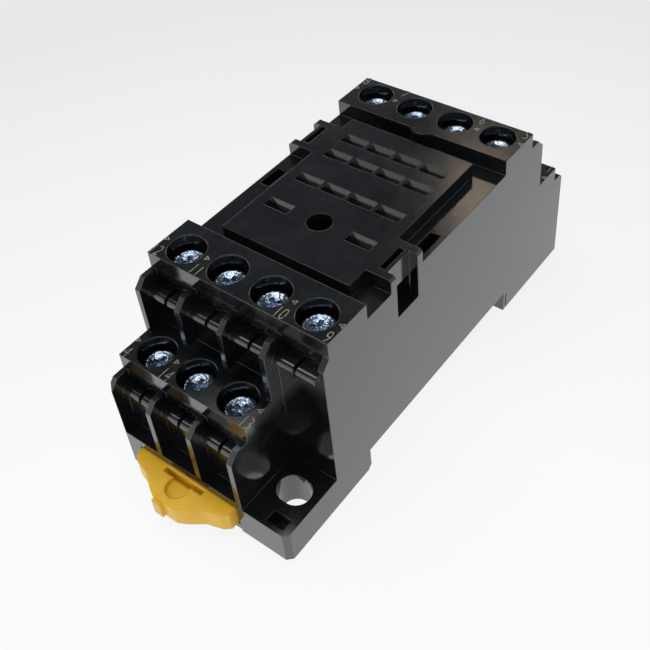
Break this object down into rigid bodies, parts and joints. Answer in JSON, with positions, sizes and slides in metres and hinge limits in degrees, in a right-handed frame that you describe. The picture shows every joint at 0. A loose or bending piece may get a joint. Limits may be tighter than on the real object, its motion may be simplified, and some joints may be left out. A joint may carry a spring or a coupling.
{
  "type": "relay socket",
  "caption": "Stepped moulded socket that holds a plug-in relay on a 35 mm rail or two screws, with recessed screw terminals at both ends and a spring-loaded release slider",
  "frame": {"origin": "on the rail seat, the face that lies on the rail's flanges, midway along and across the moulding", "axes": "+Z points out of the rail to the relay, -Y to the end with the slider's tab, +X across the rows of terminals"},
  "size_m": [0.0294, 0.0771, 0.0305],
  "materials": {
    "housing_plastic": "semi-gloss moulded black",
    "cover_plastic": "matt moulded black",
    "slider_plastic": "moulded amber yellow",
    "contact_brass": "rolled strip",
    "washer_zinc": "zinc plated",
    "screw_zinc": "zinc plated"
  },
  "bodies": {
    "root": {"housing": "housing_plastic", "base_cover": "cover_plastic", "contact_1": "contact_brass", "contact_2": "contact_brass", "contact_3": "contact_brass", "contact_4": "contact_brass", "contact_5": "contact_brass", "contact_6": "contact_brass", "contact_7": "contact_brass", "contact_8": "contact_brass", "contact_9": "contact_brass", "contact_10": "contact_brass", "contact_11": "contact_brass", "contact_12": "contact_brass", "contact_13": "contact_brass", "contact_14": "contact_brass"},
    "slider": {"din_slider": "slider_plastic"},
    "clamp_1": {"clamp_washer_1": "washer_zinc"},
    "screw_1": {"terminal_screw_1": "screw_zinc"},
    "clamp_2": {"clamp_washer_2": "washer_zinc"},
    "screw_2": {"terminal_screw_2": "screw_zinc"},
    "clamp_3": {"clamp_washer_3": "washer_zinc"},
    "screw_3": {"terminal_screw_3": "screw_zinc"},
    "clamp_4": {"clamp_washer_4": "washer_zinc"},
    "screw_4": {"terminal_screw_4": "screw_zinc"},
    "clamp_5": {"clamp_washer_5": "washer_zinc"},
    "screw_5": {"terminal_screw_5": "screw_zinc"},
    "clamp_6": {"clamp_washer_6": "washer_zinc"},
    "screw_6": {"terminal_screw_6": "screw_zinc"},
    "clamp_7": {"clamp_washer_7": "washer_zinc"},
    "screw_7": {"terminal_screw_7": "screw_zinc"},
    "clamp_8": {"clamp_washer_8": "washer_zinc"},
    "screw_8": {"terminal_screw_8": "screw_zinc"},
    "clamp_9": {"clamp_washer_9": "washer_zinc"},
    "screw_9": {"terminal_screw_9": "screw_zinc"},
    "clamp_10": {"clamp_washer_10": "washer_zinc"},
    "screw_10": {"terminal_screw_10": "screw_zinc"},
    "clamp_11": {"clamp_washer_11": "washer_zinc"},
    "screw_11": {"terminal_screw_11": "screw_zinc"},
    "clamp_12": {"clamp_washer_12": "washer_zinc"},
    "screw_12": {"terminal_screw_12": "screw_zinc"},
    "clamp_13": {"clamp_washer_13": "washer_zinc"},
    "screw_13": {"terminal_screw_13": "screw_zinc"},
    "clamp_14": {"clamp_washer_14": "washer_zinc"},
    "screw_14": {"terminal_screw_14": "screw_zinc"}
  },
  "joints": [
    {"name": "slider_pull", "type": "slide", "parent": "root", "child": "slider", "axis": [0, -1, 0], "range_m": [0, 0.003], "stiffness_N_per_m": 2000, "springref_m": -0.002},
    {"name": "lift_1", "type": "slide", "parent": "root", "child": "clamp_1", "axis": [0, 0, 1], "range_m": [0, 0.0028]},
    {"name": "turn_1", "type": "hinge", "parent": "clamp_1", "child": "screw_1", "pos_m": [0.01073, 0.0296, 0.01075], "axis": [0, 0, 1], "range_deg": [0, 2016]},
    {"name": "lift_2", "type": "slide", "parent": "root", "child": "clamp_2", "axis": [0, 0, 1], "range_m": [0, 0.0028]},
    {"name": "turn_2", "type": "hinge", "parent": "clamp_2", "child": "screw_2", "pos_m": [0.00358, 0.0296, 0.01075], "axis": [0, 0, 1], "range_deg": [0, 2016]},
    {"name": "lift_3", "type": "slide", "parent": "root", "child": "clamp_3", "axis": [0, 0, 1], "range_m": [0, 0.0028]},
    {"name": "turn_3", "type": "hinge", "parent": "clamp_3", "child": "screw_3", "pos_m": [-0.00358, 0.0296, 0.01075], "axis": [0, 0, 1], "range_deg": [0, 2016]},
    {"name": "lift_4", "type": "slide", "parent": "root", "child": "clamp_4", "axis": [0, 0, 1], "range_m": [0, 0.0028]},
    {"name": "turn_4", "type": "hinge", "parent": "clamp_4", "child": "screw_4", "pos_m": [-0.01073, -0.0296, 0.01075], "axis": [0, 0, 1], "range_deg": [0, 2016]},
    {"name": "lift_5", "type": "slide", "parent": "root", "child": "clamp_5", "axis": [0, 0, 1], "range_m": [0, 0.0028]},
    {"name": "turn_5", "type": "hinge", "parent": "clamp_5", "child": "screw_5", "pos_m": [0.01073, 0.021, 0.0224], "axis": [0, 0, 1], "range_deg": [0, 2016]},
    {"name": "lift_6", "type": "slide", "parent": "root", "child": "clamp_6", "axis": [0, 0, 1], "range_m": [0, 0.0028]},
    {"name": "turn_6", "type": "hinge", "parent": "clamp_6", "child": "screw_6", "pos_m": [0.00358, 0.021, 0.0224], "axis": [0, 0, 1], "range_deg": [0, 2016]},
    {"name": "lift_7", "type": "slide", "parent": "root", "child": "clamp_7", "axis": [0, 0, 1], "range_m": [0, 0.0028]},
    {"name": "turn_7", "type": "hinge", "parent": "clamp_7", "child": "screw_7", "pos_m": [-0.00358, 0.021, 0.0224], "axis": [0, 0, 1], "range_deg": [0, 2016]},
    {"name": "lift_8", "type": "slide", "parent": "root", "child": "clamp_8", "axis": [0, 0, 1], "range_m": [0, 0.0028]},
    {"name": "turn_8", "type": "hinge", "parent": "clamp_8", "child": "screw_8", "pos_m": [-0.01073, 0.021, 0.0224], "axis": [0, 0, 1], "range_deg": [0, 2016]},
    {"name": "lift_9", "type": "slide", "parent": "root", "child": "clamp_9", "axis": [0, 0, 1], "range_m": [0, 0.0028]},
    {"name": "turn_9", "type": "hinge", "parent": "clamp_9", "child": "screw_9", "pos_m": [0.01073, -0.021, 0.0224], "axis": [0, 0, 1], "range_deg": [0, 2016]},
    {"name": "lift_10", "type": "slide", "parent": "root", "child": "clamp_10", "axis": [0, 0, 1], "range_m": [0, 0.0028]},
    {"name": "turn_10", "type": "hinge", "parent": "clamp_10", "child": "screw_10", "pos_m": [0.00358, -0.021, 0.0224], "axis": [0, 0, 1], "range_deg": [0, 2016]},
    {"name": "lift_11", "type": "slide", "parent": "root", "child": "clamp_11", "axis": [0, 0, 1], "range_m": [0, 0.0028]},
    {"name": "turn_11", "type": "hinge", "parent": "clamp_11", "child": "screw_11", "pos_m": [-0.00358, -0.021, 0.0224], "axis": [0, 0, 1], "range_deg": [0, 2016]},
    {"name": "lift_12", "type": "slide", "parent": "root", "child": "clamp_12", "axis": [0, 0, 1], "range_m": [0, 0.0028]},
    {"name": "turn_12", "type": "hinge", "parent": "clamp_12", "child": "screw_12", "pos_m": [-0.01073, -0.021, 0.0224], "axis": [0, 0, 1], "range_deg": [0, 2016]},
    {"name": "lift_13", "type": "slide", "parent": "root", "child": "clamp_13", "axis": [0, 0, 1], "range_m": [0, 0.0028]},
    {"name": "turn_13", "type": "hinge", "parent": "clamp_13", "child": "screw_13", "pos_m": [0.00358, -0.0296, 0.01075], "axis": [0, 0, 1], "range_deg": [0, 2016]},
    {"name": "lift_14", "type": "slide", "parent": "root", "child": "clamp_14", "axis": [0, 0, 1], "range_m": [0, 0.0028]},
    {"name": "turn_14", "type": "hinge", "parent": "clamp_14", "child": "screw_14", "pos_m": [-0.00358, -0.0296, 0.01075], "axis": [0, 0, 1], "range_deg": [0, 2016]}
  ],
  "couplings": [
    {"joint": "turn_1", "follows": "lift_1", "rad_per_m": 12566},
    {"joint": "turn_2", "follows": "lift_2", "rad_per_m": 12566},
    {"joint": "turn_3", "follows": "lift_3", "rad_per_m": 12566},
    {"joint": "turn_4", "follows": "lift_4", "rad_per_m": 12566},
    {"joint": "turn_5", "follows": "lift_5", "rad_per_m": 12566},
    {"joint": "turn_6", "follows": "lift_6", "rad_per_m": 12566},
    {"joint": "turn_7", "follows": "lift_7", "rad_per_m": 12566},
    {"joint": "turn_8", "follows": "lift_8", "rad_per_m": 12566},
    {"joint": "turn_9", "follows": "lift_9", "rad_per_m": 12566},
    {"joint": "turn_10", "follows": "lift_10", "rad_per_m": 12566},
    {"joint": "turn_11", "follows": "lift_11", "rad_per_m": 12566},
    {"joint": "turn_12", "follows": "lift_12", "rad_per_m": 12566},
    {"joint": "turn_13", "follows": "lift_13", "rad_per_m": 12566},
    {"joint": "turn_14", "follows": "lift_14", "rad_per_m": 12566}
  ]
}
